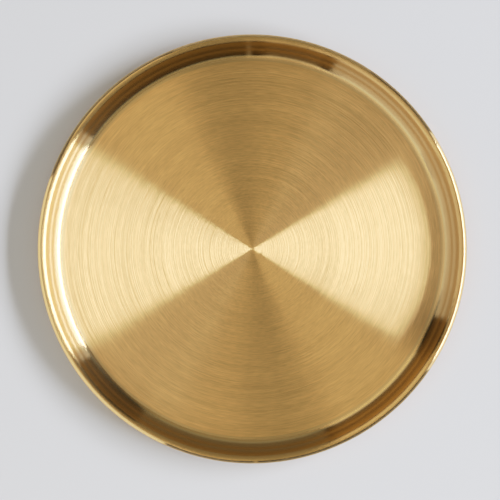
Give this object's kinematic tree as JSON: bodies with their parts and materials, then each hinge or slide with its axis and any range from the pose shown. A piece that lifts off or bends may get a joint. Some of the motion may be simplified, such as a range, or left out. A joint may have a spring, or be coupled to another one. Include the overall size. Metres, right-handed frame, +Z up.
{
  "type": "thali plate",
  "caption": "Round gold-coloured metal thali plate with a flat, concentrically brushed floor, a low flared wall and an outward-rolled rim, for serving a meal.",
  "frame": {"origin": "middle of the underside, where the plate stands on the table", "axes": "+Z up along the axis of revolution; X and Y lie in the table and are interchangeable"},
  "size_m": [0.28, 0.28, 0.012],
  "materials": {
    "gold_sheet": "gold-coloured stainless sheet, concentric brushed floor, finely polished wall and rim",
    "steel_wire": "bare drawn steel wire, hidden inside the rolled rim"
  },
  "bodies": {
    "root": {"plate": "gold_sheet", "rim_wire": "steel_wire"}
  },
  "joints": []
}
